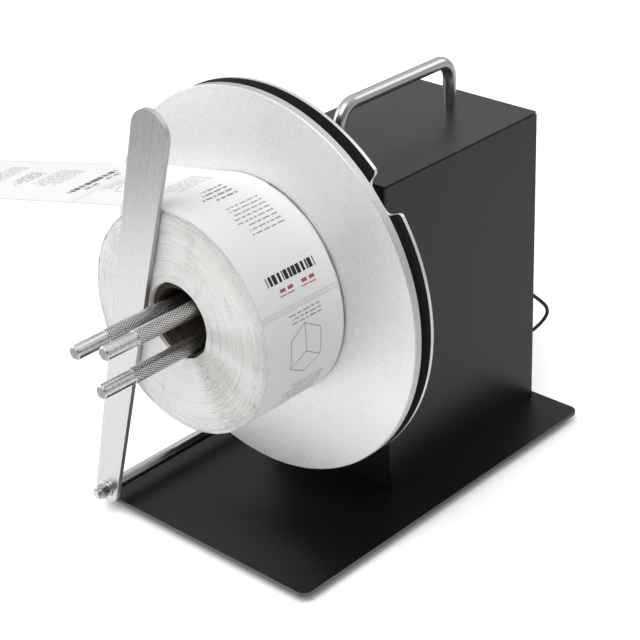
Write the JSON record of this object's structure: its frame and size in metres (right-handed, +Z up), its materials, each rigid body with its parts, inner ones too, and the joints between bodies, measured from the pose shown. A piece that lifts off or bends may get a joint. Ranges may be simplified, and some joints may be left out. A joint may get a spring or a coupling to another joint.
{
  "type": "label rewinder",
  "caption": "Desktop label rewinder: a motor housing on a base plate turns a disc with a spiral-cam core clamp, winding a label roll beside a swinging guide arm.",
  "frame": {"origin": "middle of the machine's outline without its lead, on the floor that the feet stand on", "axes": "-Y is the front, towards the roll and arm; +X is to the right seen from the front; +Z is up"},
  "size_m": [0.3664, 0.4124, 0.2862],
  "materials": {
    "black_powder_coat": "fine matt black powder coat",
    "foot_rubber": "matt",
    "zinc_fasteners": "zinc plated",
    "black_fasteners": "black oxide",
    "stainless_rod": "brushed along its length",
    "brushed_arm": "brushed along its length",
    "blasted_disc": "bead blasted",
    "turned_disc": "black faces, bright turned rim",
    "cast_alloy": "machined",
    "bearing_steel": "ground",
    "slider_steel": "milled",
    "knurled_steel": "knurled, with bright turned tips",
    "motor_paint": "satin",
    "pot_shell": "stamped",
    "board_green": "solder resist",
    "standoff_brass": "plain",
    "switch_plastic": "moulded black",
    "rocker_plastic": "moulded black",
    "lead_jacket": "soft black jacket",
    "tie_plastic": "black strap",
    "label_paper": "white coated stock",
    "core_board": "brown board"
  },
  "bodies": {
    "stand": {"base_plate": "black_powder_coat", "rubber_feet": "foot_rubber", "foot_screws": "zinc_fasteners", "housing_shell": "black_powder_coat", "shell_screws": "zinc_fasteners", "top_cover": "black_powder_coat", "rear_panel": "black_powder_coat", "panel_screws": "black_fasteners", "handle": "stainless_rod", "handle_screws": "zinc_fasteners", "bearing_housing": "cast_alloy", "bearing_screws": "zinc_fasteners", "bearing_front": "bearing_steel", "bearing_rear": "bearing_steel", "motor_spacers": "cast_alloy", "spacer_screws": "zinc_fasteners", "motor_plate": "cast_alloy", "gearbox": "motor_paint", "gearbox_screws": "zinc_fasteners", "motor": "motor_paint", "control_board": "board_green", "board_standoffs": "standoff_brass", "guide_rod": "stainless_rod", "rod_block": "black_powder_coat", "rod_block_screws": "zinc_fasteners", "arm_washer": "zinc_fasteners", "arm_nut": "zinc_fasteners", "power_switch_body": "switch_plastic", "direction_switch_body": "switch_plastic", "speed_pot": "pot_shell", "lead_grommet": "foot_rubber", "lead_run": "lead_jacket", "lead_coil": "lead_jacket", "lead_tie": "tie_plastic", "lead_connector": "switch_plastic", "label_web": "label_paper"},
    "spindle": {"spindle_shaft": "bearing_steel", "front_disc": "blasted_disc", "disc_washer": "zinc_fasteners", "disc_screw": "black_fasteners", "shaft_coupling": "cast_alloy", "gearbox_shaft": "bearing_steel", "cam_collar": "bearing_steel", "label_core": "core_board", "label_roll": "label_paper"},
    "cam": {"cam_disc": "turned_disc", "cam_hub": "cast_alloy", "cam_hub_screws": "zinc_fasteners"},
    "clamp_1": {"post_1": "knurled_steel", "slider_1": "slider_steel"},
    "clamp_2": {"post_2": "knurled_steel", "slider_2": "slider_steel"},
    "clamp_3": {"post_3": "knurled_steel", "slider_3": "slider_steel"},
    "arm": {"guide_arm": "brushed_arm"},
    "power_key": {"power_rocker": "rocker_plastic"},
    "direction_key": {"direction_rocker": "rocker_plastic"},
    "knob": {"speed_knob": "rocker_plastic", "knob_shaft": "bearing_steel"}
  },
  "joints": [
    {"name": "spindle_spin", "type": "hinge", "parent": "stand", "child": "spindle", "pos_m": [0.06244, 0.00905, 0.1573], "axis": [0, -1, 0], "continuous": true},
    {"name": "cam_turn", "type": "hinge", "parent": "spindle", "child": "cam", "pos_m": [0.06244, 0.00905, 0.1573], "axis": [0, -1, 0], "range_deg": [0, 19.5]},
    {"name": "post_1_slide", "type": "slide", "parent": "spindle", "child": "clamp_1", "axis": [0.9781, 0, -0.2079], "range_m": [0, 0.00275]},
    {"name": "post_2_slide", "type": "slide", "parent": "spindle", "child": "clamp_2", "axis": [-0.6691, 0, -0.7431], "range_m": [0, 0.00275]},
    {"name": "post_3_slide", "type": "slide", "parent": "spindle", "child": "clamp_3", "axis": [-0.309, 0, 0.9511], "range_m": [0, 0.00275]},
    {"name": "guide_arm_swing", "type": "hinge", "parent": "stand", "child": "arm", "pos_m": [-0.01286, -0.11245, 0.0169], "axis": [0, -1, 0], "range_deg": [0, 100]},
    {"name": "power_rocker_tilt", "type": "hinge", "parent": "stand", "child": "power_key", "pos_m": [0.04044, 0.15255, 0.0795], "axis": [1, 0, 0], "range_deg": [0, 18]},
    {"name": "direction_rocker_tilt", "type": "hinge", "parent": "stand", "child": "direction_key", "pos_m": [0.08444, 0.15255, 0.1575], "axis": [1, 0, 0], "range_deg": [-9, 9]},
    {"name": "speed_knob_turn", "type": "hinge", "parent": "stand", "child": "knob", "pos_m": [0.04044, 0.15655, 0.1575], "axis": [0, -1, 0], "range_deg": [0, 270]}
  ],
  "couplings": [
    {"joint": "post_1_slide", "follows": "cam_turn", "m_per_rad": 0.008},
    {"joint": "post_2_slide", "follows": "cam_turn", "m_per_rad": 0.008},
    {"joint": "post_3_slide", "follows": "cam_turn", "m_per_rad": 0.008}
  ]
}
